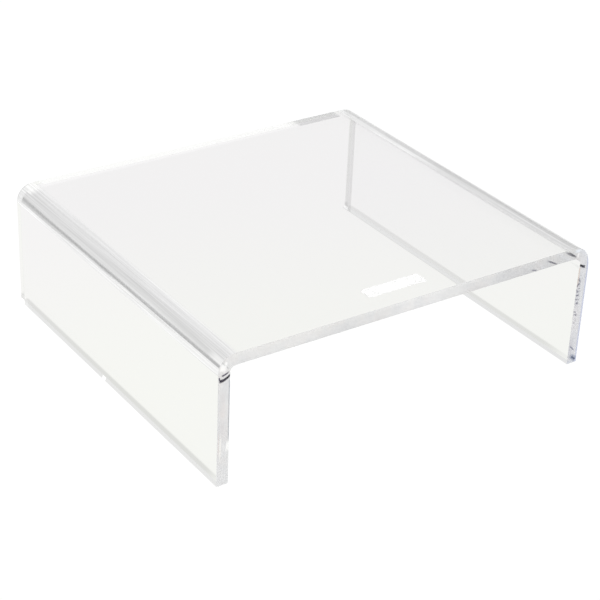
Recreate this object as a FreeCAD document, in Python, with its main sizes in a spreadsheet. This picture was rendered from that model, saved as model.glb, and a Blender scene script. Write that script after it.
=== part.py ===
"""Clear desk riser: one 10 mm cast acrylic sheet, line-bent twice into a
platform with two side legs, and a thin blank label film stuck to the
underside of the platform near the front edge.

Frame: +X along the front edge, +Y from front to back, +Z up. The origin is the
centre of the footprint, on the surface the riser stands on.
"""

import FreeCAD
import Part
import Sketcher
import os
from math import pi

doc = FreeCAD.newDocument("desk_riser")

# ---------------------------------------------------------------- dimensions
# Every driving size, in millimetres.
SIZES = [
    ("overall_width", 350.0),   # outside of one leg to outside of the other
    ("overall_depth", 320.0),   # front edge to back edge of the sheet
    ("overall_height", 110.0),  # standing surface to the top of the platform
    ("sheet_thick", 10.0),      # cast acrylic stock
    ("bend_inner", 7.0),        # inside radius of each line bend
    ("arris", 0.4),             # small flat taken off every cut edge
    ("label_width", 54.0),
    ("label_depth", 13.0),
    ("label_corner", 2.0),      # rounded corners of the film
    ("label_thick", 0.1),
    ("label_setback", 29.5),    # front edge of the sheet to the film's centre
]
sheet = doc.addObject("Spreadsheet::Sheet", "Sizes")
for row, (alias, value) in enumerate(SIZES, start=1):
    sheet.set("A%d" % row, alias)
    sheet.set("B%d" % row, str(value))
    sheet.setAlias("B%d" % row, alias)
doc.recompute()


def size(alias):
    return float(sheet.get(alias))


# ------------------------------------------------------------ sketch helpers
# Points of a sketch element, and the sketch's own horizontal axis, whose start
# point is the sketch origin.
START, END, CENTRE = 1, 2, 3
X_AXIS = -1

TOLERANCE = 1e-6  # for picking edges by position


def new_body(name, label):
    body = doc.addObject("PartDesign::Body", name)
    body.Label = label
    return body


def new_sketch(body, name, plane_role):
    """A sketch on the body's origin plane that has the given role."""
    for plane in body.Origin.OriginFeatures:
        if plane.Role == plane_role:
            sketch = body.newObject("Sketcher::SketchObject", name)
            sketch.AttachmentSupport = (plane, [""])
            sketch.MapMode = "FlatFace"
            return sketch
    raise RuntimeError("no origin plane " + plane_role)


def point(x, y):
    return FreeCAD.Vector(x, y, 0)


def add_line(sketch, x1, y1, x2, y2):
    return sketch.addGeometry(Part.LineSegment(point(x1, y1), point(x2, y2)), False)


def add_arc(sketch, x, y, radius, start, end):
    """An arc centred on x, y, counterclockwise between two angles."""
    circle = Part.Circle(point(x, y), FreeCAD.Vector(0, 0, 1), radius)
    return sketch.addGeometry(Part.ArcOfCircle(circle, start, end), False)


def constrain(sketch, constraints):
    for arguments in constraints:
        sketch.addConstraint(Sketcher.Constraint(*arguments))


def drive(sketch, name, alias, kind, *elements):
    """Add a driving size to a sketch and bind it to the spreadsheet."""
    index = sketch.addConstraint(Sketcher.Constraint(kind, *elements, size(alias)))
    sketch.renameConstraint(index, name)
    sketch.setExpression("Constraints." + name, "Sizes." + alias)


def bind(feature, prop, alias):
    """Set a feature's property from the spreadsheet and keep it bound."""
    setattr(feature, prop, size(alias))
    feature.setExpression(prop, "Sizes." + alias)


# ------------------------------------------------------------ the bent sheet
def draw_bent_profile(body):
    """Front view of the bent sheet, with concentric arcs at each bend."""
    sketch = new_sketch(body, "BentProfile", "XZ_Plane")
    height = size("overall_height")
    thick = size("sheet_thick")
    inner_radius = size("bend_inner")
    outer_radius = inner_radius + thick

    outer_x = size("overall_width") / 2
    inner_x = outer_x - thick
    bend_x = outer_x - outer_radius     # bend centres lie at -bend_x and +bend_x
    bend_z = height - outer_radius
    under_z = height - thick            # underside of the platform

    # Round the outside from the left foot, then back along the inside.
    left_out = add_line(sketch, -outer_x, 0, -outer_x, bend_z)
    left_bend_out = add_arc(sketch, -bend_x, bend_z, outer_radius, pi / 2, pi)
    top = add_line(sketch, -bend_x, height, bend_x, height)
    right_bend_out = add_arc(sketch, bend_x, bend_z, outer_radius, 0, pi / 2)
    right_out = add_line(sketch, outer_x, bend_z, outer_x, 0)
    right_foot = add_line(sketch, outer_x, 0, inner_x, 0)
    right_in = add_line(sketch, inner_x, 0, inner_x, bend_z)
    right_bend_in = add_arc(sketch, bend_x, bend_z, inner_radius, 0, pi / 2)
    under = add_line(sketch, bend_x, under_z, -bend_x, under_z)
    left_bend_in = add_arc(sketch, -bend_x, bend_z, inner_radius, pi / 2, pi)
    left_in = add_line(sketch, -inner_x, bend_z, -inner_x, 0)
    left_foot = add_line(sketch, -inner_x, 0, -outer_x, 0)

    constrain(sketch, [
        # tangent joins between each straight and its bend
        ("Tangent", left_out, END, left_bend_out, END),
        ("Tangent", left_bend_out, START, top, START),
        ("Tangent", top, END, right_bend_out, END),
        ("Tangent", right_bend_out, START, right_out, START),
        ("Tangent", right_in, END, right_bend_in, START),
        ("Tangent", right_bend_in, END, under, START),
        ("Tangent", under, END, left_bend_in, START),
        ("Tangent", left_bend_in, END, left_in, START),
        # square feet
        ("Coincident", right_out, END, right_foot, START),
        ("Coincident", right_foot, END, right_in, START),
        ("Coincident", left_in, END, left_foot, START),
        ("Coincident", left_foot, END, left_out, START),
        # a shared centre keeps one thickness round each bend
        ("Coincident", left_bend_out, CENTRE, left_bend_in, CENTRE),
        ("Coincident", right_bend_out, CENTRE, right_bend_in, CENTRE),
        ("Vertical", left_out),
        ("Vertical", left_in),
        ("Vertical", right_out),
        ("Vertical", right_in),
        ("Horizontal", top),
        ("Horizontal", under),
        ("Horizontal", left_foot),
        ("Horizontal", right_foot),
        # both feet stand on the ground line, evenly about the middle
        ("PointOnObject", left_out, START, X_AXIS),
        ("Symmetric", left_out, START, right_out, END, X_AXIS, START),
        ("Equal", left_bend_in, right_bend_in),
    ])
    drive(sketch, "Width", "overall_width", "DistanceX", left_out, START, right_out, END)
    drive(sketch, "Height", "overall_height", "DistanceY", left_out, START, top, START)
    drive(sketch, "Thickness", "sheet_thick",
          "DistanceX", left_foot, END, left_foot, START)
    drive(sketch, "InnerRadius", "bend_inner", "Radius", left_bend_in)
    doc.recompute()
    return sketch


def find_cut_edges(shape):
    """Names of the edges round the front, back and foot faces."""
    names = []
    for number, edge in enumerate(shape.Edges, start=1):
        box = edge.BoundBox
        from_end = abs(abs(box.YMin) - size("overall_depth") / 2)
        on_end = box.YLength < TOLERANCE and from_end < TOLERANCE
        on_foot = box.ZLength < TOLERANCE and abs(box.ZMin) < TOLERANCE
        if on_end or on_foot:
            names.append("Edge%d" % number)
    return names


def build_riser():
    body = new_body("RiserSheet", "riser_sheet")
    profile = draw_bent_profile(body)

    pad = body.newObject("PartDesign::Pad", "SheetDepth")
    pad.Profile = profile
    bind(pad, "Length", "overall_depth")
    # The property for a symmetric pad depends on the FreeCAD version.
    if hasattr(pad, "SideType"):
        pad.SideType = "Symmetric"
    else:
        pad.Midplane = True
    doc.recompute()

    # The polished cut faces lose a small arris all round.
    arris = body.newObject("PartDesign::Chamfer", "PolishedArris")
    arris.Base = (pad, find_cut_edges(pad.Shape))
    bind(arris, "Size", "arris")
    body.Tip = arris
    doc.recompute()
    return body, profile


# ------------------------------------------------------------ the label film
def draw_film_outline(body):
    """Rectangle centred on the sketch origin."""
    sketch = new_sketch(body, "FilmOutline", "XY_Plane")
    x = size("label_width") / 2
    y = size("label_depth") / 2
    front = add_line(sketch, -x, -y, x, -y)
    right = add_line(sketch, x, -y, x, y)
    back = add_line(sketch, x, y, -x, y)
    left = add_line(sketch, -x, y, -x, -y)
    constrain(sketch, [
        ("Coincident", front, END, right, START),
        ("Coincident", right, END, back, START),
        ("Coincident", back, END, left, START),
        ("Coincident", left, END, front, START),
        ("Horizontal", front),
        ("Horizontal", back),
        ("Vertical", right),
        ("Vertical", left),
        ("Symmetric", front, START, back, START, X_AXIS, START),
    ])
    drive(sketch, "FilmWidth", "label_width", "DistanceX", front, START, front, END)
    drive(sketch, "FilmDepth", "label_depth", "DistanceY", right, START, right, END)
    doc.recompute()
    return sketch


def build_label():
    """Film on the underside of the platform, centred across the width."""
    body = new_body("BlankLabel", "blank_label")
    outline = draw_film_outline(body)

    film = body.newObject("PartDesign::Pad", "FilmThickness")
    film.Profile = outline
    bind(film, "Length", "label_thick")
    doc.recompute()

    upright_edges = [
        "Edge%d" % number
        for number, edge in enumerate(film.Shape.Edges, start=1)
        if edge.BoundBox.ZLength > size("label_thick") / 2
    ]
    corners = body.newObject("PartDesign::Fillet", "FilmCorners")
    corners.Base = (film, upright_edges)
    bind(corners, "Radius", "label_corner")
    body.Tip = corners

    body.setExpression(
        "Placement.Base.y", "Sizes.label_setback - Sizes.overall_depth / 2"
    )
    body.setExpression(
        "Placement.Base.z", "Sizes.overall_height - Sizes.sheet_thick - Sizes.label_thick"
    )
    doc.recompute()
    return body, outline


riser, profile = build_riser()
label, outline = build_label()

# ------------------------------------------------------------------- checks
for item in doc.Objects:
    if "Invalid" in item.State or "Error" in item.State:
        raise RuntimeError("%s failed: %s" % (item.Name, item.State))
for sketch in (profile, outline):
    if sketch.solve() != 0 or not sketch.FullyConstrained:
        raise RuntimeError(sketch.Name + " isn't fully constrained")
for body in (riser, label):
    shape = body.Shape
    if shape.isNull() or not shape.isValid() or len(shape.Solids) != 1:
        raise RuntimeError(body.Label + " isn't one valid solid")

# The arris may take no more than 1% off the plain bent sheet: two legs and a
# platform of straight sheet, joined by two quarter rings.
thick = size("sheet_thick")
inner_radius = size("bend_inner")
outer_radius = inner_radius + thick
straight_length = (
    2 * (size("overall_height") - outer_radius) + size("overall_width") - 2 * outer_radius
)
bends_area = pi / 2 * (outer_radius ** 2 - inner_radius ** 2)
plain_volume = (straight_length * thick + bends_area) * size("overall_depth")
if not 0 <= plain_volume - riser.Shape.Volume < 0.01 * plain_volume:
    raise RuntimeError("the bent sheet's volume is wrong")

# ------------------------------------------------------------------- output
os.makedirs("parts", exist_ok=True)
for body in (riser, label):
    body.Shape.exportStep("parts/%s.step" % body.Label)
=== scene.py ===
"""A clear desk riser: one thick acrylic sheet bent down into a leg at each end, with a blank film
under its platform, in a white studio.

X runs along the platform from the left leg to the right one, -Y is the front, +Z is up.
"""
import math
from collections import namedtuple

import bpy
import bmesh
import numpy as np
from mathutils import Matrix, Vector, noise


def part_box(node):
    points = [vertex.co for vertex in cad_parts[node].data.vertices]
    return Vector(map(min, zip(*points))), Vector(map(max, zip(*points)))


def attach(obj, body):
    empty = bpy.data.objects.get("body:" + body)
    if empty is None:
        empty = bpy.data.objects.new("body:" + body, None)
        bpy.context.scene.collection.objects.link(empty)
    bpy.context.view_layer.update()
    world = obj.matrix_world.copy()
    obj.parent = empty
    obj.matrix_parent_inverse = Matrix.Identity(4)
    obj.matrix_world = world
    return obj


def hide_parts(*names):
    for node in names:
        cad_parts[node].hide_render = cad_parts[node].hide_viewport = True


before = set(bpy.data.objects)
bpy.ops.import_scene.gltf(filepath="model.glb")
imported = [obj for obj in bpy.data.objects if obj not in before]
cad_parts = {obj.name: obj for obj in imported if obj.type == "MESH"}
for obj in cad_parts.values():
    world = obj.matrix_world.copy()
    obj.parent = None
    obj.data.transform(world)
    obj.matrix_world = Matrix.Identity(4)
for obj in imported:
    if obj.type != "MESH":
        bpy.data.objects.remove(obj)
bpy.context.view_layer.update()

MM = 0.001
QUARTER = math.pi / 2
LEFT, RIGHT = -1, 1

# ------------------------------------------------------------------ sizes, all from the frame
sheet_lo, sheet_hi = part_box("riser_sheet")
film_lo, film_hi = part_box("blank_label")
WIDTH, DEPTH, HEIGHT = sheet_hi.x - sheet_lo.x, sheet_hi.y - sheet_lo.y, sheet_hi.z - sheet_lo.z
HALF_W, HALF_D = WIDTH / 2, DEPTH / 2
X_MID, Y_MID, Z_FOOT = (sheet_hi.x + sheet_lo.x) / 2, (sheet_hi.y + sheet_lo.y) / 2, sheet_lo.z
THICK = sheet_hi.z - film_hi.z  # the film's top touches the underside of the platform
HALF_T = THICK / 2
cad_points = np.array([v.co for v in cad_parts["riser_sheet"].data.vertices], float)
# the outer bend starts where the outer face leaves the vertical
OUTER_RADIUS = sheet_hi.z - cad_points[cad_points[:, 0] < sheet_lo.x + 1e-5][:, 2].max()
MID_RADIUS = OUTER_RADIUS - HALF_T

# ------------------------------------------------------------------ shape of the sheet
# In a line bend the curvature comes in quickly above the leg and eases out onto the platform.
# Each bend: share of the strip where the curvature is all in, share where it starts to ease out,
# strip length.
BENDS = {
    LEFT: (0.18, 0.48, 1.12 * math.pi / 2 * MID_RADIUS),
    RIGHT: (0.22, 0.48, 1.60 * math.pi / 2 * MID_RADIUS),
}
BEND_STEPS, FINE_STEPS = 150, 6000
ARRIS = 0.28 * MM  # radius of the long edges and of the feet
FOOT_STEPS, EDGE_STEPS = 4, 3  # foot arc; each half of a long edge's arc
LEG_STEP, FINE_LEG_STEP, FINE_LEG = 2.0 * MM, 0.5 * MM, 8 * MM  # finer just below the bend
PLATFORM_STEP = 2.2 * MM
HEAT_REACH, HEAT_SPREAD = 12 * MM, 4.0 * MM
# relative spacing of the rows from a cut end to the middle of the depth
END_STEPS = [0.5, 0.6, 0.8, 1.0, 1.3, 1.6, 2.0, 2.6, 3.4, 4.4,
             5.6, 7, 9, 11, 13, 15, 17, 19, 21, 21]

BULGE, BULGE_FADE, BULGE_DRAW_IN = 0.75 * MM, 5.0 * MM, 0.25
FLARE, FLARE_FADE = 0.30 * MM, 7.0 * MM
BACK_SHARE = 0.45  # the back cut end swells this much as far as the front one
THINNING = 0.05  # share of the thickness lost in a bend
EDGE_FADE, CROWN = 1.2 * MM, 0.06 * MM
RIPPLE, RIPPLE_SIZE, RIPPLE_SHEAR = 0.014 * MM, 16 * MM, 0.30
UNEVEN, UNEVEN_SIZE = 0.018 * MM, 70 * MM
# the crease below each bend on the cut ends; lowest at this share of the thickness from outside
PINCH, PINCH_HALF = 0.22 * MM, 0.9 * MM
CREASE_Z, CREASE_RISE, CREASE_LOW = HEIGHT - 19.8 * MM, 3.4 * MM, 0.22


def smooth(start, stop, x):
    share = min(1.0, max(0.0, (x - start) / (stop - start)))
    return share * share * (3 - 2 * share)


def wave(seed, x, y, size):
    return noise.noise(Vector((x / size + seed * 7.3, y / size - seed * 3.1, seed * 11.7)))


def spread(start, stop, step):
    count = max(1, int(round(abs(stop - start) / step)))
    return [start + (stop - start) * i / count for i in range(count + 1)]


# ------------------------------------------------------------------ centre line
def bend_path(come_in, go_out, strip):
    """Centre line of a bend, from upwards round to +X: (x, z, angle, curvature) per station."""
    fine = FINE_STEPS
    curve = [smooth(0, come_in, i / fine) * (1 - smooth(go_out, 1, i / fine))
             for i in range(fine + 1)]
    total = sum((a + b) / 2 for a, b in zip(curve, curve[1:]))
    x = z = turned = 0.0
    path = []
    for i in range(fine + 1):
        angle = math.pi / 2 * turned / total
        if i % (fine // BEND_STEPS) == 0:
            path.append((x, z, angle, curve[i]))
        x += math.sin(angle) * strip / fine
        z += math.cos(angle) * strip / fine
        turned += (curve[i] + curve[min(i + 1, fine)]) / 2
    path[-1] = (x, z, math.pi / 2, 0.0)
    return path


paths = {side: bend_path(*bend) for side, bend in BENDS.items()}
# height where each bend leaves its leg, and distance from the middle where it meets the platform
bend_z = {side: HEIGHT - HALF_T - path[-1][1] for side, path in paths.items()}
flat_x = {side: HALF_W - HALF_T - path[-1][0] for side, path in paths.items()}

# a place on the centre line, its outward direction, the bend's curvature, the foot's inset
Station = namedtuple("Station", "x z out_x out_z curve inset")


def side_stations(side):
    """A leg and its bend from the foot up, laid out as on the left."""
    leg_x = -HALF_W + HALF_T
    start = bend_z[side]
    out = []
    for i in range(FOOT_STEPS + 1):
        phi = math.pi / 2 * i / FOOT_STEPS
        out.append(Station(leg_x, ARRIS * (1 - math.cos(phi)), -1.0, 0.0, 0.0,
                           ARRIS * (1 - math.sin(phi))))
    leg_zs = spread(ARRIS, start - FINE_LEG, LEG_STEP)[1:]
    leg_zs += spread(start - FINE_LEG, start, FINE_LEG_STEP)[1:]
    out += [Station(leg_x, z, -1.0, 0.0, 0.0, 0.0) for z in leg_zs]
    out += [Station(leg_x + x, start + z, -math.cos(angle), math.sin(angle), curve, 0.0)
            for x, z, angle, curve in paths[side][1:]]
    return out


stations = side_stations(LEFT)
stations += [Station(x, HEIGHT - HALF_T, 0.0, 1.0, 0.0, 0.0)
             for x in spread(-flat_x[LEFT], flat_x[RIGHT], PLATFORM_STEP)[1:-1]]
stations += [st._replace(x=-st.x, out_x=-st.out_x) for st in reversed(side_stations(RIGHT))]

run = [0.0]  # distance along the centre line
for here, ahead in zip(stations, stations[1:]):
    run.append(run[-1] + math.hypot(ahead.x - here.x, ahead.z - here.z))
run = np.array(run)


def spread_heat():
    """Heat spreads past the strip, so the cut ends' swelling fades out over the flats beside it."""
    curve = np.array([st.curve for st in stations])
    lengths = np.gradient(run)
    heat = np.zeros(len(curve))
    for i in range(len(curve)):
        close = np.abs(run - run[i]) < HEAT_REACH
        bell = np.exp(-((run[close] - run[i]) / HEAT_SPREAD) ** 2)
        part = lengths[close]
        heat[i] = (curve[close] * bell * part).sum() / (bell * part).sum()
    return heat


heat = spread_heat()

# ------------------------------------------------------------------ cross-section
rows = [0.0]
for step in END_STEPS:
    rows.append(rows[-1] + step)
rows = np.array(rows)
rows = rows / rows[-1] * (HALF_D - ARRIS)
section_ys = np.concatenate([-(HALF_D - ARRIS) + rows, (HALF_D - ARRIS) - rows[-2::-1]])
section_ms = np.linspace(-1, 1, 15) * (HALF_T - ARRIS)


def ring(depth, thick, radius):
    """Rounded rectangle in (y, m), m outwards, as its outer, back, inner and front runs.

    The runs meet at the middles of the corner arcs.
    """
    cy, cm = depth / 2 - radius, thick / 2 - radius
    ys = [y * (cy / (HALF_D - ARRIS)) for y in section_ys]
    ms = [m * (cm / (HALF_T - ARRIS)) for m in section_ms]

    def corner(y, m, start, stop):
        """Half a corner arc; start and stop are in eighths of a turn."""
        start, stop = start * math.pi / 4, stop * math.pi / 4
        angles = [start + (stop - start) * i / EDGE_STEPS for i in range(EDGE_STEPS + 1)]
        return [(y + radius * math.cos(a), m + radius * math.sin(a)) for a in angles]

    outer = corner(-cy, cm, 3, 2)[:-1] + [(y, thick / 2) for y in ys] + corner(cy, cm, 2, 1)[1:]
    back = (corner(cy, cm, 1, 0)[:-1] + [(depth / 2, m) for m in ms[::-1]]
            + corner(cy, -cm, 0, -1)[1:])
    inner = (corner(cy, -cm, -1, -2)[:-1] + [(y, -thick / 2) for y in ys[::-1]]
             + corner(-cy, -cm, -2, -3)[1:])
    front = (corner(-cy, -cm, -3, -4)[:-1] + [(-depth / 2, m) for m in ms]
             + corner(-cy, cm, 4, 3)[1:])
    return outer, back, inner, front


def place(i, y, m):
    """A point of the sheet: station i, depth position y, thickness position m (outwards)."""
    st = stations[i]
    end = HALF_D - abs(y)  # distance from the nearer cut end
    side = 1.0 if y > 0 else -1.0
    unit = m / HALF_T
    new_m = m * (1 - THINNING * st.curve)
    # hot acrylic squeezes out past the cut end inside a bend and draws in on the outside
    amount = 1.0 if y < 0 else BACK_SHARE
    fade = math.exp(-end / BULGE_FADE)
    squeeze = -unit - BULGE_DRAW_IN * (1 - unit * unit)
    new_y = y + side * fade * heat[i] * amount * BULGE * squeeze
    new_m += FLARE * heat[i] * amount * math.exp(-end / FLARE_FADE)
    if st.inset == 0.0:
        # the cut ends have a faint crown across the thickness and faint ripples along the length
        edge = math.exp(-end / EDGE_FADE)
        new_y += side * edge * (CROWN * (1 - unit * unit) - CROWN)
        ripple = wave(2 if y > 0 else 5, run[i], m * RIPPLE_SHEAR, RIPPLE_SIZE)
        new_y += side * edge * RIPPLE * ripple
        if abs(st.out_x) > 0.5:
            # where the leg meets the heated strip the cut end is drawn in to a shallow crease
            share = (0.5 - m / THICK - CREASE_LOW) / (1 - CREASE_LOW)
            off = (st.z - (CREASE_Z + CREASE_RISE * share ** 2)) / PINCH_HALF
            new_y -= side * edge * PINCH * math.exp(-off * off)
        # cast sheet is never quite even
        uneven = wave(3 if unit > 0 else 4, run[i], y, UNEVEN_SIZE)
        new_m += UNEVEN * uneven * min(1.0, abs(unit))
    return (X_MID + st.x + st.out_x * new_m, Y_MID + new_y, Z_FOOT + st.z + st.out_z * new_m)


# ------------------------------------------------------------------ the bent sheet
def cap_foot(bm, loop, across, deep, flip):
    """Fills a foot with a grid, across by deep faces, blended from the four runs of its ring."""
    top = loop[:across + 1]
    right = loop[across:across + deep + 1]
    bottom = loop[across + deep:2 * across + deep + 1][::-1]
    left = (loop[2 * across + deep:] + [loop[0]])[::-1]
    grid = [[None] * (deep + 1) for _ in range(across + 1)]
    for j in range(across + 1):
        grid[j][0], grid[j][deep] = top[j], bottom[j]
    for k in range(deep + 1):
        grid[0][k], grid[across][k] = left[k], right[k]
    for j in range(1, across):
        u = (top[j].co.y - top[0].co.y) / (top[-1].co.y - top[0].co.y)
        for k in range(1, deep):
            v = k / deep
            grid[j][k] = bm.verts.new(
                top[j].co * (1 - v) + bottom[j].co * v
                + left[k].co * (1 - u) + right[k].co * u
                - top[0].co * (1 - u) * (1 - v) - top[-1].co * u * (1 - v)
                - bottom[0].co * (1 - u) * v - bottom[-1].co * u * v
            )
    for j in range(across):
        for k in range(deep):
            quad = (grid[j][k], grid[j + 1][k], grid[j + 1][k + 1], grid[j][k + 1])
            bm.faces.new(quad[::-1] if flip else quad)


def to_mesh(bm, name):
    mesh = bpy.data.meshes.new(name)
    bm.to_mesh(mesh)
    bm.free()
    return mesh


def build_sheet():
    bm = bmesh.new()
    loops = []
    for i, st in enumerate(stations):
        radius = max(ARRIS - st.inset * 0.6, 0.1 * MM)
        runs = ring(DEPTH - 2 * st.inset, THICK - 2 * st.inset, radius)
        loops.append([bm.verts.new(place(i, y, m)) for part in runs for y, m in part[:-1]])
    count = len(loops[0])
    for low, high in zip(loops, loops[1:]):
        for j in range(count):
            k = (j + 1) % count
            bm.faces.new((low[j], low[k], high[k], high[j]))
    across, deep = len(runs[0]) - 1, len(runs[1]) - 1
    cap_foot(bm, loops[0], across, deep, flip=False)
    cap_foot(bm, loops[-1], across, deep, flip=True)
    bmesh.ops.recalc_face_normals(bm, faces=bm.faces)
    mesh = to_mesh(bm, "acrylic_sheet")
    area_normals(mesh)
    return mesh


def area_normals(mesh):
    """Area-weighted normals, so that the broad faces stay true up to the rounded edges."""
    mesh.shade_smooth()
    pos = np.empty(len(mesh.vertices) * 3)
    mesh.vertices.foreach_get("co", pos)
    pos = pos.reshape(-1, 3)
    total = np.zeros(pos.shape)
    faces = np.array([p.vertices[:] for p in mesh.polygons])
    face_normals = np.cross(pos[faces[:, 2]] - pos[faces[:, 0]], pos[faces[:, 3]] - pos[faces[:, 1]])
    for corner in range(4):
        np.add.at(total, faces[:, corner], face_normals)
    total /= np.linalg.norm(total, axis=1)[:, None] + 1e-30
    mesh.normals_split_custom_set_from_vertices(total.tolist())


def add_object(name, data):
    obj = bpy.data.objects.new(name, data)
    bpy.context.scene.collection.objects.link(obj)
    return obj


sheet = add_object("acrylic_sheet", build_sheet())
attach(sheet, "root")
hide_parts("riser_sheet")

# ------------------------------------------------------------------ the blank film
FILM_GAP = 0.04 * MM
FILM_CORNER = 2.0 * MM
FILM_CELLS = (54, 14)  # along X and Y, before the extra lines round the corners
FILM_CORNER_LINES = (0, 0.35, 0.65, 0.85, 1)  # shares of the corner radius
FILM_SAG, FILM_SAG_SIZE = 0.012 * MM, 9 * MM
FILM_LIFT_OFF = 0.05 * MM  # further sag of the back right corner


def film_lines(cells, size):
    """Grid lines over -1..1, with extra ones within a corner radius of each end."""
    even = [round(v, 6) for v in np.linspace(-1, 1, cells + 1)]
    extra = [round(math.copysign(1 - FILM_CORNER * 2 / size * (1 - share), sign), 6)
             for sign in (-1, 1) for share in FILM_CORNER_LINES]
    return sorted(set(even + extra))


def build_film():
    wide, deep = film_hi.x - film_lo.x, film_hi.y - film_lo.y
    mid_x, mid_y = (film_hi.x + film_lo.x) / 2, (film_hi.y + film_lo.y) / 2
    thick = film_hi.z - film_lo.z
    straight_x, straight_y = wide / 2 - FILM_CORNER, deep / 2 - FILM_CORNER

    def rounded(u, v):
        """Maps the square -1..1 to the film's outline with rounded corners."""
        x, y = u * wide / 2, v * deep / 2
        over_x, over_y = max(0.0, abs(x) - straight_x), max(0.0, abs(y) - straight_y)
        if over_x > 0 and over_y > 0:
            # squeeze the square corner onto the arc
            big, reach = max(over_x, over_y), math.hypot(over_x, over_y)
            x = math.copysign(straight_x + over_x * big / reach, x)
            y = math.copysign(straight_y + over_y * big / reach, y)
        return mid_x + x, mid_y + y

    bm = bmesh.new()
    top, low = [], []
    for u in film_lines(FILM_CELLS[0], wide):
        top.append([])
        low.append([])
        for v in film_lines(FILM_CELLS[1], deep):
            x, y = rounded(u, v)
            sag = (FILM_SAG * (1 + wave(21, x, y, FILM_SAG_SIZE))
                   + FILM_LIFT_OFF * smooth(0.8, 1.0, u) * smooth(0.2, 1.0, v))
            z = film_hi.z - FILM_GAP - sag
            top[-1].append(bm.verts.new((x, y, z)))
            low[-1].append(bm.verts.new((x, y, z - thick * 0.8)))
    x_cells, y_cells = len(top) - 1, len(top[0]) - 1
    for i in range(x_cells):
        for j in range(y_cells):
            bm.faces.new((top[i][j], top[i + 1][j], top[i + 1][j + 1], top[i][j + 1]))
            bm.faces.new((low[i][j], low[i][j + 1], low[i + 1][j + 1], low[i + 1][j]))
    for i in range(x_cells):
        bm.faces.new((top[i][0], low[i][0], low[i + 1][0], top[i + 1][0]))
        bm.faces.new((top[i][-1], top[i + 1][-1], low[i + 1][-1], low[i][-1]))
    for j in range(y_cells):
        bm.faces.new((top[0][j], top[0][j + 1], low[0][j + 1], low[0][j]))
        bm.faces.new((top[-1][j], low[-1][j], low[-1][j + 1], top[-1][j + 1]))
    bmesh.ops.recalc_face_normals(bm, faces=bm.faces)
    mesh = to_mesh(bm, "label_film")
    mesh.shade_smooth()
    mesh.set_sharp_from_angle(angle=math.radians(40))
    return mesh


film = add_object("label_film", build_film())
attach(film, "root")
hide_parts("blank_label")


# ------------------------------------------------------------------ shader building
def grey(value):
    return (value, value, value, 1)


class Nodes:
    """A node tree being built; an input takes a plain value or another node's output."""

    def __init__(self, owner):
        owner.use_nodes = True
        self.tree = owner.node_tree
        self.tree.nodes.clear()

    def add(self, kind, inputs=None, **settings):
        made = self.tree.nodes.new("ShaderNode" + kind)
        for name, value in settings.items():
            setattr(made, name, value)
        for key, value in (inputs or {}).items():
            if isinstance(value, bpy.types.NodeSocket):
                self.tree.links.new(value, made.inputs[key])
            else:
                made.inputs[key].default_value = value
        return made

    def split(self, vector):
        return self.add("SeparateXYZ", {"Vector": vector}).outputs[:]

    def calc(self, operation, a, b=0.0):
        return self.add("Math", {0: a, 1: b, 2: 0.0}, operation=operation).outputs[0]

    def times(self, *parts):
        total = parts[0]
        for part in parts[1:]:
            total = self.calc("MULTIPLY", total, part)
        return total

    def ease(self, value, start, stop, at_start=0.0, at_stop=1.0):
        """Smoothstep of value from start..stop onto at_start..at_stop."""
        return self.add("MapRange", {
            "Value": value, "From Min": start, "From Max": stop,
            "To Min": at_start, "To Max": at_stop,
        }, interpolation_type="SMOOTHSTEP").outputs["Result"]

    def fall(self, value, start, stop):
        return self.ease(value, start, stop, 1.0, 0.0)

    def band(self, value, rising, falling):
        """Two factors for times(): one comes in over rising, one goes out over falling."""
        return self.ease(value, *rising), self.fall(value, *falling)

    def near(self, value, centre, half):
        """1 at the centre, fading to 0 at half to either side."""
        return self.fall(self.calc("ABSOLUTE", self.calc("SUBTRACT", value, centre)),
                         half * 0.35, half)

    def noise(self, vector, scale, detail, dimensions="3D"):
        return self.add("TexNoise", {"Vector": vector, "Scale": scale, "Detail": detail},
                        noise_dimensions=dimensions).outputs["Fac"]

    def ramp(self, value, stops, interpolation="LINEAR"):
        made = self.add("ValToRGB", {"Fac": value})
        made.color_ramp.interpolation = interpolation
        elements = made.color_ramp.elements
        elements[0].position, elements[0].color = stops[0]
        elements[1].position, elements[1].color = stops[-1]
        for position, colour in stops[1:-1]:
            elements.new(position).color = colour
        return made.outputs["Color"]

    def mix(self, share, a, b, blend="MIX"):
        return self.add("Mix", {0: share, 6: a, 7: b}, data_type="RGBA", blend_type=blend).outputs[2]

    def paint_glow_over(self, shader, share, colour):
        """Mixes an even glow (an emission, painted light) of the given colour over a shader."""
        glow = self.add("Emission", {"Color": colour})
        return self.add("MixShader", {0: share, 1: shader, 2: glow.outputs[0]}).outputs[0]


# ------------------------------------------------------------------ clear acrylic: where things are
# painted shade that darkens the heated strips of the bends
BEND_SHADE = 0.79  # tone of the heated strips
# painted light: paths that have met this many surfaces end in an even painted glow of the colour
# below
MAX_DEPTH = 8  # light that has met this many surfaces turns into an even glow
PAINTED_GLOW = (0.795, 0.792, 0.788, 1)
Z_BEND = bend_z[LEFT]

acrylic_material = bpy.data.materials.new("clear_acrylic")
acrylic = Nodes(acrylic_material)
calc, times, ease, fall = acrylic.calc, acrylic.times, acrylic.ease, acrylic.fall
band, near = acrylic.band, acrylic.near

point = acrylic.add("TexCoord").outputs["Object"]
point_x, point_y, point_z = acrylic.split(point)
x = calc("SUBTRACT", point_x, X_MID)
y = calc("SUBTRACT", point_y, Y_MID)
z = calc("SUBTRACT", point_z, Z_FOOT)
across = calc("ABSOLUTE", x)
deep = calc("DIVIDE", calc("SUBTRACT", HALF_W, across), THICK)  # 0 on a leg's outer face, 1 inner
right = ease(x, -1 * MM, 1 * MM)
left = calc("SUBTRACT", 1.0, right)
leg = fall(deep, 1.0, 1.3)
front = fall(y, -1 * MM, 1 * MM)

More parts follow.
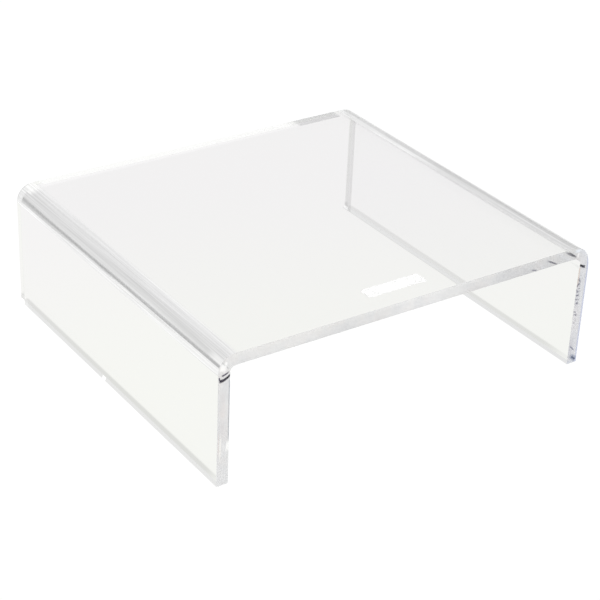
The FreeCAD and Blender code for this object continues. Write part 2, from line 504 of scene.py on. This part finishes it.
# the cut ends, told from the broad faces by their direction
normal_x, normal_y, normal_z = acrylic.split(acrylic.add("NewGeometry").outputs["Normal"])
cut = ease(calc("ABSOLUTE", normal_y), 0.55, 0.85)
face = calc("SUBTRACT", 1.0, cut)
beyond_leg = ease(deep, 0.9, 1.4)
inside_leg = ease(deep, 1.0, 1.6)

haze = acrylic.noise(point, scale=14.0, detail=5.0)
grain = acrylic.noise(point, scale=85.0, detail=2.0)
cloud = acrylic.noise(point, scale=34.0, detail=3.0)
specks = acrylic.noise(point, scale=420.0, detail=1.0)

# the heated strips, where the painted shade of the bends goes: full strength round each bend, none
# on the flats
by_x = calc("ADD",
            times(left, ease(across, flat_x[LEFT] + 1 * MM, flat_x[LEFT] + 8 * MM)),
            times(right, ease(across, flat_x[RIGHT] + 2 * MM, flat_x[RIGHT] + 9 * MM)))
heated = times(by_x, ease(z, Z_BEND + 2.5 * MM, Z_BEND + 5 * MM), face)
crease_off = calc("ABSOLUTE", calc("SUBTRACT", deep, CREASE_LOW))
crease = calc("ADD", CREASE_Z, calc(
    "MULTIPLY", calc("POWER", calc("DIVIDE", crease_off, 1 - CREASE_LOW), 2.0), CREASE_RISE))


def bend_streak_lines(around, around_scale, along_scale, detail):
    """Fine lines running front to back, changing quickly with the value around the bend."""
    flow = acrylic.add("CombineXYZ", {0: calc("MULTIPLY", around, around_scale),
                                      1: calc("MULTIPLY", y, along_scale)})
    return acrylic.noise(flow.outputs[0], scale=1.0, detail=detail, dimensions="2D")


turn = calc("ARCTAN2", calc("SUBTRACT", z, Z_BEND), calc("SUBTRACT", across, flat_x[LEFT]))
lines = bend_streak_lines(turn, around_scale=11.0, along_scale=6.0, detail=3.0)

# ------------------------------------------------------------------ clear acrylic: tinted places, mostly painted light and shade
# Short strokes of painted shade and painted highlight on the front cut end: (x, z) to (x, z) and
# half width, in mm, then the tint.
# painted shade at the right foot
FOOT_SHADE_STROKES = [
    ((167.5, 7.8, 174.4, 2.2, 3.4), (0.36, 0.40, 0.52)),
    ((168.5, 6.6, 173.9, 2.4, 1.2), (0.22, 0.26, 0.36)),
    ((165.8, 17.5, 171.5, 11.5, 0.9), (0.34, 0.35, 0.44)),
]
# painted shade along the crease under each bend, then painted highlights and shade round the corners
CREASE_SHADE_AND_HIGHLIGHT_STROKES = [
    ((147.5, 109.4, 158.5, 102.4, 1.1), (0.26, 0.26, 0.29)),
    ((151.5, 108.2, 160.5, 101.4, 1.0), (0.20, 0.20, 0.22)),
    ((129.0, 106.6, 140.5, 100.4, 0.95), (0.20, 0.20, 0.25)),
    ((113.0, 102.8, 119.0, 100.4, 0.9), (0.35, 0.35, 0.42)),
    ((-174.2, 93.8, -173.7, 90.8, 0.9), (0.06, 0.05, 0.10)),
    # painted highlights and painted shade in the left corner above the crease
    ((-173.6, 101.2, -168.0, 99.4, 3.9), (1.55, 1.55, 1.53)),
    ((-169.4, 104.2, -167.2, 103.0, 1.5), (1.5, 1.5, 1.48)),
    ((-171.6, 105.0, -169.0, 101.6, 0.7), (0.74, 0.74, 0.73)),
    ((-168.6, 101.6, -166.6, 99.0, 0.7), (0.70, 0.70, 0.70)),
    # painted highlights, and a faint painted shade, in upright strokes low on the left leg
    ((-166.6, 29.0, -165.8, 38.0, 1.7), (1.55, 1.55, 1.50)),
    ((-172.6, 22.0, -172.0, 45.0, 0.9), (1.30, 1.27, 1.20)),
    ((-174.0, 26.0, -173.8, 48.0, 0.7), (0.98, 0.90, 0.86)),
    # painted highlights in the right corner
    ((158.8, 107.0, 164.2, 106.2, 1.6), (1.30, 1.40, 1.52)),
    ((162.8, 104.8, 161.2, 100.6, 1.4), (1.5, 1.5, 1.5)),
]


def painted_stroke_layer(line, tint):
    x0, z0, x1, z1, half = (v * MM for v in line)
    length = math.hypot(x1 - x0, z1 - z0)
    ux, uz = (x1 - x0) / length, (z1 - z0) / length
    dx, dz = calc("SUBTRACT", x, x0), calc("SUBTRACT", z, z0)
    along = calc("ADD", calc("MULTIPLY", dx, ux), calc("MULTIPLY", dz, uz))
    off = calc("SUBTRACT", calc("MULTIPLY", dx, -uz), calc("MULTIPLY", dz, -ux))
    stroke = times(front, near(off, 0.0, half), near(along, length / 2, length * 0.6))
    return times(cut, stroke), tint


# All layers: (where it applies, tint); they multiply the colour in this order.
# painted shade over the bends, with darker and lighter painted streaks along them
bend_shade_layers = [
    (heated, (BEND_SHADE, BEND_SHADE, BEND_SHADE * 1.005)),
    (times(heated, ease(lines, 0.52, 0.62)), (0.80, 0.80, 0.81)),
    (times(heated, ease(lines, 0.46, 0.36)), (1.10, 1.10, 1.10)),
]
# tints on the front cut end: random cool, warm, dull and bright patches, the rest painted light and
# shade
cut_end_tints_and_painted_light = [
    # painted light and shade: greyer towards the right of the long edge, brighter in its middle,
    # duller left of that
    (times(cut, ease(x, 26 * MM, 124 * MM), beyond_leg), (0.80, 0.80, 0.81)),
    (times(cut, front, near(x, 6 * MM, 32 * MM), beyond_leg), (1.10, 1.10, 1.10)),
    (times(cut, front, near(x, -66 * MM, 34 * MM), beyond_leg), (0.95, 0.95, 0.95)),
    # unevenly cool and warm, dull and bright
    (times(cut, ease(grain, 0.50, 0.60)), (0.972, 0.978, 0.985)),
    (times(cut, ease(grain, 0.50, 0.40)), (1.012, 0.998, 0.988)),
    (times(cut, ease(cloud, 0.48, 0.62)), (0.94, 0.94, 0.945)),
    (times(cut, ease(cloud, 0.46, 0.34)), (1.04, 1.04, 1.03)),
    # painted shade on the right leg, then two places in its inner half: low down and higher up
    (times(cut, right, leg, ease(z, 4 * MM, 10 * MM)), (0.90, 0.905, 0.94)),
    (times(cut, front, right, leg, ease(deep, 0.45, 0.75), near(z, 13 * MM, 16 * MM)),
     (0.84, 0.84, 0.87)),
    (times(cut, front, right, leg, ease(deep, 0.55, 0.75),
           *band(z, (50 * MM, 58 * MM), (76 * MM, 84 * MM))), (0.84, 0.84, 0.86)),
    # painted light on the platform's upper margin and painted shade on its lower one
    (times(cut, inside_leg, ease(z, HEIGHT - 3.5 * MM, HEIGHT - 1.5 * MM)), (1.04, 1.04, 1.03)),
    (times(cut, inside_leg, fall(z, HEIGHT - THICK + 1 * MM, HEIGHT - THICK + 4 * MM)),
     (0.965, 0.965, 0.965)),
    # a painted warm cast of light in an upright band in the left leg
    (times(cut, front, left, leg, *band(deep, (0.12, 0.30), (0.50, 0.70)),
           *band(z, (36 * MM, 46 * MM), (74 * MM, 84 * MM))), (1.0, 0.968, 0.96)),
    # painted shade: cool outer and warm inner rim of the right leg
    (times(cut, front, right, leg, fall(deep, 0.10, 0.25)), (0.74, 0.78, 0.98)),
    (times(cut, front, right, leg, ease(deep, 0.80, 0.92),
           *band(z, (Z_BEND - 24 * MM, Z_BEND - 16 * MM), (Z_BEND - 4 * MM, Z_BEND - 2 * MM))),
     (1.0, 0.84, 0.72)),
    # painted shade: a dark line along the left leg's inner edge; dark specks inside the right one's
    (times(cut, front, left, leg, ease(deep, 0.86, 0.94),
           *band(z, (34 * MM, 44 * MM), (Z_BEND - 6 * MM, Z_BEND - 3 * MM))), (0.50, 0.52, 0.56)),
    (times(cut, front, right, leg, ease(deep, 0.45, 0.80),
           *band(z, (30 * MM, 48 * MM), (76 * MM, 88 * MM)), ease(specks, 0.55, 0.62)),
     (0.24, 0.24, 0.30)),
]
crease_shade_layers = [
    # painted shade on the right foot
    (times(cut, front, right, leg, fall(z, 1.5 * MM, 4.5 * MM)), (0.82, 0.85, 0.93)),
    # painted shade in the crease under each bend, and a fainter painted line of shade above it on
    # the left
    (times(cut, front, leg, near(z, crease, 1.9 * MM),
           calc("ADD", times(left, ease(deep, 0.04, 0.16)), times(right, ease(deep, 0.28, 0.42)))),
     (0.012, 0.010, 0.022)),
    (times(cut, front, leg, near(z, calc("ADD", crease, 4.0 * MM), 1.1 * MM), left,
           *band(deep, (0.22, 0.4), (0.75, 0.95))), (0.07, 0.06, 0.10)),
]
underside = times(*band(z, (HEIGHT - THICK - 2 * MM, HEIGHT - THICK - 1 * MM),
                        (HEIGHT - THICK + 1 * MM, HEIGHT - THICK + 2 * MM)))
face_shade_layers = [
    # painted shade: the right leg a shade deeper
    (times(right, leg, face), (0.986, 0.985, 0.990)),
    # painted shade: the grey of the right bend carries on a little over the platform
    (times(face, ease(x, 147.5 * MM, 149.5 * MM), ease(z, HEIGHT - 2 * MM, HEIGHT - 1 * MM),
           ease(y, -40 * MM, 60 * MM, 1.0, 0.35)), (0.74, 0.74, 0.75)),
    # a painted dark margin of shade along the back of the right leg's outer face
    (times(right, face, fall(deep, 0.2, 0.4), ease(y, HALF_D - 4.8 * MM, HALF_D - 4.0 * MM),
           fall(z, Z_BEND - 4 * MM, Z_BEND + 2 * MM)), (0.58, 0.575, 0.58)),
    # and painted shade along the back edge of the underside beside it
    (times(face, *band(x, (102 * MM, 109 * MM), (148.5 * MM, 153 * MM)), underside,
           ease(y, HALF_D - 6.5 * MM, HALF_D - 5.5 * MM)), (0.42, 0.42, 0.43)),
]

# clear stock with the faintest cool cast, a touch warmer where the haze sits
colour = acrylic.ramp(haze, [(0.0, (0.994, 0.996, 0.998, 1)), (1.0, (0.998, 0.998, 0.994, 1))])
for where, tint in (bend_shade_layers + cut_end_tints_and_painted_light
                    + [painted_stroke_layer(*stroke) for stroke in FOOT_SHADE_STROKES] + crease_shade_layers
                    + [painted_stroke_layer(*stroke) for stroke in CREASE_SHADE_AND_HIGHLIGHT_STROKES] + face_shade_layers):
    colour = acrylic.mix(where, colour, (*tint, 1), "MULTIPLY")

# ------------------------------------------------------------------ clear acrylic: painted light and shade of the bends
# painted tone of the bent strips, their painted light and shade, against how far they have turned: 0
# on the leg, 1 on the platform
LEFT_BEND_PAINTED_TONES = [
    (0.0, 0.91), (0.125, 0.905), (0.165, 0.80), (0.22, 0.56), (0.265, 0.43), (0.32, 0.57),
    (0.37, 0.735), (0.42, 0.745), (0.50, 0.69), (0.555, 0.70), (0.64, 0.74), (0.73, 0.755),
    (0.81, 0.78), (0.89, 0.80), (0.94, 0.85), (0.98, 0.905),
]
RIGHT_BEND_PAINTED_TONES = [
    (0.0, 0.90), (0.16, 0.78), (0.22, 0.62), (0.265, 0.54), (0.32, 0.63), (0.37, 0.73),
    (0.45, 0.78), (0.55, 0.85), (0.65, 0.92), (0.712, 0.90), (0.769, 0.80), (0.821, 0.66),
    (0.867, 0.58), (0.906, 0.58), (0.938, 0.67), (0.962, 0.77), (0.98, 0.80), (0.997, 0.79),
]
turned = calc("DIVIDE", calc("ARCTAN2", normal_z, calc("ABSOLUTE", normal_x)), QUARTER)
left_tone, right_tone = (acrylic.ramp(turned, [(at, grey(value)) for at, value in tones])
                         for tones in (LEFT_BEND_PAINTED_TONES, RIGHT_BEND_PAINTED_TONES))
tone = acrylic.mix(right, left_tone, right_tone)

# patches of painted light and shade on the left bend: (where, tone)
painted_tone_patches = [
    # the front, halfway round; the back, above halfway
    (times(left, fall(y, -HALF_D + 8 * MM, -HALF_D + 22 * MM),
           *band(turned, (0.33, 0.38), (0.50, 0.58))), (0.93, 0.93, 0.925, 1)),
    (times(left, ease(y, HALF_D - 20 * MM, HALF_D - 10 * MM), ease(turned, 0.54, 0.64)),
     (1.0, 1.0, 0.99, 1)),
    # low on the bend: bright in the front half, dark in the back half
    (times(left, fall(y, -25 * MM, 12 * MM), *band(turned, (0.09, 0.12), (0.205, 0.245))),
     (0.915, 0.915, 0.91, 1)),
    (times(left, ease(y, 30 * MM, 110 * MM), near(turned, 0.165, 0.06), 0.6), grey(0.55)),
    # two margins along the back edge
    (times(left, ease(y, HALF_D - 9.5 * MM, HALF_D - 7.0 * MM), fall(turned, 0.62, 0.72)),
     grey(0.87)),
    (times(left, ease(y, HALF_D - 1.7 * MM, HALF_D - 0.9 * MM), fall(turned, 0.80, 0.90)),
     grey(0.66)),
]
for where, patch in painted_tone_patches:
    tone = acrylic.mix(where, tone, patch)

# fine lines and finer hairs streak the painted tone; the painted tone of the right bend brightens
# towards the back
hair = bend_streak_lines(turned, around_scale=40.0, along_scale=9.0, detail=2.0)
bright = ease(hair, 0.56, 0.66, 1.0, 1.13)
dull = ease(hair, 0.36, 0.45, 0.90, 1.0)
towards_back = times(ease(y, 5 * MM, 50 * MM, 1.0, 1.11), ease(y, 85 * MM, 115 * MM, 1.0, 1.03))
lift = calc("ADD", left, times(right, towards_back))
streak = times(ease(lines, 0.36, 0.64, 0.95, 1.05), bright, dull, lift)
streaks = acrylic.add("CombineXYZ", {0: streak, 1: streak, 2: streak}).outputs[0]
tone = acrylic.mix(1.0, tone, streaks, "MULTIPLY")

# painted light along the back edge of the platform
rim = times(face, fall(x, 90 * MM, 106 * MM), ease(z, HEIGHT - 1 * MM, HEIGHT - 0.5 * MM),
            ease(y, HALF_D - 10.2 * MM, HALF_D - 7.8 * MM),
            ease(x, -flat_x[LEFT] - 2 * MM, -flat_x[LEFT] + 3 * MM))
tone = acrylic.mix(rim, tone, (1.0, 1.0, 0.99, 1))

# ------------------------------------------------------------------ clear acrylic: surface
# how much of the painted tone covers the bends, the rim and the cut ends
RIM_SHARE, CUT_SHARE = 0.85, 0.5
on_bend = calc(
    "ADD", times(left, ease(turned, 0.935, 0.985, 0.85, 0.0)),
    times(right, ease(across, flat_x[RIGHT] - 0.5 * MM, flat_x[RIGHT] + 1.5 * MM, 0.0, 0.70)))
on_bend = times(on_bend, face, ease(turned, 0.01, 0.06))
cover = calc("ADD", calc("MAXIMUM", on_bend, calc("MULTIPLY", rim, RIM_SHARE)),
             calc("MULTIPLY", cut, CUT_SHARE))

# handling haze: very faint, uneven patches
haze_rough = acrylic.add("MapRange", {"Value": haze, "From Min": 0.45, "From Max": 0.85,
                                      "To Min": 0.0, "To Max": 0.012})
clear = acrylic.add("BsdfPrincipled", {
    "Base Color": colour, "Roughness": haze_rough.outputs["Result"],
    "IOR": 1.491, "Transmission Weight": 1.0,
})
ray = acrylic.add("LightPath").outputs
# painted light: paths that keep glancing about inside the sheet end in an even painted glow
surface = acrylic.paint_glow_over(clear.outputs["BSDF"],
                            calc("GREATER_THAN", ray["Ray Depth"], MAX_DEPTH - 0.5), PAINTED_GLOW)
# camera rays see painted light and shade: the bent strips and the back rim show their painted tone,
# and the cut ends an even painted glow
even = acrylic.mix(1.0, colour, PAINTED_GLOW, "MULTIPLY")
surface = acrylic.paint_glow_over(surface, times(ray["Is Camera Ray"], cover),
                            acrylic.mix(cut, tone, even))
absorption = acrylic.add("VolumeAbsorption", {"Color": (0.86, 0.88, 0.92, 1), "Density": 1.0})
acrylic.add("OutputMaterial", {"Surface": surface, "Volume": absorption.outputs["Volume"]})
sheet.data.materials.append(acrylic_material)


# ------------------------------------------------------------------ film material
def film_material():
    """Matt white with a fine grain."""
    material = bpy.data.materials.new("label_film")
    nodes = Nodes(material)
    fine = nodes.noise(nodes.add("TexCoord").outputs["Object"], scale=900.0, detail=3.0)
    rough = nodes.add("MapRange", {"Value": fine, "To Min": 0.42, "To Max": 0.6})
    bump = nodes.add("Bump", {"Height": fine, "Strength": 0.15, "Distance": 0.00005})
    matt = nodes.add("BsdfPrincipled", {
        "Base Color": nodes.ramp(fine, [(0.0, (0.90, 0.90, 0.89, 1)), (1.0, grey(0.96))]),
        "Roughness": rough.outputs["Result"],
        "Normal": bump.outputs["Normal"],
    })
    nodes.add("OutputMaterial", {"Surface": matt.outputs["BSDF"]})
    return material


film.data.materials.append(film_material())

# ------------------------------------------------------------------ studio floor
FLOOR_SEEN, FLOOR_LIGHT = 1.03, 0.925  # brightness seen directly, and through the sheet
FLOOR_RADIUS, FLOOR_DROP = 9.0, 0.0003
# Painted shadow strips beside the feet: from x, to x, soft edge, distance back from the front cut
# end
# where they reach full depth, share of the depth at the front, depth.
PAINTED_SHADOW_STRIPS = [
    (-HALF_W, -HALF_W + THICK + 5.5 * MM, 2.5 * MM, 26 * MM, 0.3, 0.25),
    (HALF_W - THICK, HALF_W + 7.0 * MM, 3.0 * MM, 42 * MM, 0.25, 0.20),
]


def floor_material():
    """Even white seen directly; other rays also meet the painted shadows beside the feet."""
    material = bpy.data.materials.new("studio_floor")
    nodes = Nodes(material)
    calc, times, ease = nodes.calc, nodes.times, nodes.ease
    seen = nodes.add("LightPath").outputs["Is Camera Ray"]
    world_x, world_y, _ = nodes.split(nodes.add("NewGeometry").outputs["Position"])
    x = calc("SUBTRACT", world_x, X_MID)
    from_mid = calc("ABSOLUTE", calc("SUBTRACT", world_y, Y_MID))
    ends = nodes.fall(from_mid, HALF_D + 0.5 * MM, HALF_D + 4 * MM)
    back = calc("SUBTRACT", world_y, Y_MID - HALF_D)

    def shade(start, stop, soft, full_at, front_share, dark):
        return times(ease(x, start - 0.5 * MM, start), nodes.fall(x, stop - soft, stop)), ease(
            back, 4 * MM, full_at, dark * front_share, dark)

    strips = calc("ADD", *(calc("MULTIPLY", *shade(*strip)) for strip in PAINTED_SHADOW_STRIPS))
    light = calc("SUBTRACT", 1.0, calc("MULTIPLY", strips, ends))
    # painted shade: the floor dimmer far to the front
    far_front = ease(world_y, Y_MID - 1.1, Y_MID - 0.5, 0.75, 1.0)
    level = times(light, far_front, FLOOR_LIGHT)
    strength = calc("ADD", calc("MULTIPLY", seen, FLOOR_SEEN),
                    calc("MULTIPLY", calc("SUBTRACT", 1.0, seen), level))
    # the cast drifts from yellowish green in front to pinkish at the back
    slanted = calc("SUBTRACT", world_y, calc("MULTIPLY", x, -0.35))
    cast = nodes.mix(ease(slanted, Y_MID - 0.10, Y_MID + 0.32),
                     (1.005, 1.011, 0.973, 1), (0.995, 0.982, 0.985, 1))
    glow = nodes.add("Emission", {"Color": nodes.mix(seen, cast, grey(1)), "Strength": strength})
    nodes.add("OutputMaterial", {"Surface": glow.outputs["Emission"]})
    return material


bm = bmesh.new()
bmesh.ops.create_circle(bm, cap_ends=True, segments=96, radius=FLOOR_RADIUS)
floor = add_object("studio_floor", to_mesh(bm, "studio_floor"))
floor.location = (0, 0, Z_FOOT - FLOOR_DROP)
floor.data.materials.append(floor_material())

# ------------------------------------------------------------------ world
# Brightness against the height of the direction looked in.
SOFTBOX = [(0.88, 1.4), (0.95, 2.0), (1.0, 2.4)]
# behind the riser: the sweep, its upper fall-off, then the overhead softbox
FAR = [(0.0, FLOOR_LIGHT), (0.04, 0.90), (0.30, 0.82), (0.50, 0.78), (0.70, 0.78), (0.78, 0.9)]
# on the camera's side: a dark room under the same softbox
CLOSE = [(0.0, 0.50), (0.12, 0.60), (0.24, 1.00), (0.40, 1.35), (0.70, 1.1), (0.78, 1.0)]
RAMP_SCALE = 10.0  # the ramps hold a tenth of the brightness
FILM_LIFT = 7.0


def build_world():
    world = bpy.data.worlds.new("studio")
    bpy.context.scene.world = world
    nodes = Nodes(world)
    path = nodes.add("LightPath").outputs
    _, look_y, look_z = nodes.split(nodes.add("TexCoord").outputs["Generated"])
    far, close = (nodes.ramp(look_z, [(at, grey(value / RAMP_SCALE)) for at, value in stops],
                             "B_SPLINE") for stops in (FAR + SOFTBOX, CLOSE + SOFTBOX))
    # only the film scatters light; it gets the lift that lamps over the sheet would give it
    scattered = nodes.calc("GREATER_THAN", path["Diffuse Depth"], 0.5)
    light = nodes.add("Background", {
        "Color": nodes.mix(nodes.ease(look_y, -0.45, -0.02), close, far),
        "Strength": nodes.calc("ADD", RAMP_SCALE, nodes.calc("MULTIPLY", scattered, FILM_LIFT)),
    })
    seen = nodes.add("Background", {"Color": grey(1), "Strength": FLOOR_SEEN})
    pick = nodes.add("MixShader", {0: path["Is Camera Ray"], 1: light.outputs[0],
                                   2: seen.outputs[0]})
    nodes.add("OutputWorld", {"Surface": pick.outputs[0]})


build_world()

# ------------------------------------------------------------------ camera
CAMERA_PLACE = Vector((-2.0941, -2.9897, 2.1295)) # in sheet widths
CAMERA_ANGLES = (35.1999571, 29.2464242, 2.5205915)  # right of +Y, downwards, roll; degrees


def build_camera():
    data = bpy.data.cameras.new("camera")
    data.sensor_width = 36.0
    data.lens = 104.924
    data.clip_start, data.clip_end = 0.05, 60.0
    camera = add_object("camera", data)
    yaw, pitch, roll = (math.radians(angle) for angle in CAMERA_ANGLES)
    ahead = Vector((math.sin(yaw) * math.cos(pitch), math.cos(yaw) * math.cos(pitch),
                    -math.sin(pitch)))
    level = ahead.cross(Vector((0, 0, 1))).normalized()
    upright = level.cross(ahead)
    side = math.cos(roll) * level + math.sin(roll) * upright
    top = -math.sin(roll) * level + math.cos(roll) * upright
    rows = [(side[i], top[i], -ahead[i], CAMERA_PLACE[i] * WIDTH) for i in range(3)]
    camera.matrix_world = Matrix((*rows, (0, 0, 0, 1)))
    bpy.context.scene.camera = camera


build_camera()

# ------------------------------------------------------------------ render settings
scene = bpy.context.scene
scene.view_settings.view_transform = "Standard"
scene.view_settings.look = "None"
scene.view_settings.exposure = 0.0
scene.view_settings.gamma = 1.0
scene.cycles.max_bounces = 256
scene.cycles.glossy_bounces = 256
scene.cycles.transmission_bounces = 256
scene.cycles.transparent_max_bounces = 16
scene.cycles.volume_bounces = 0
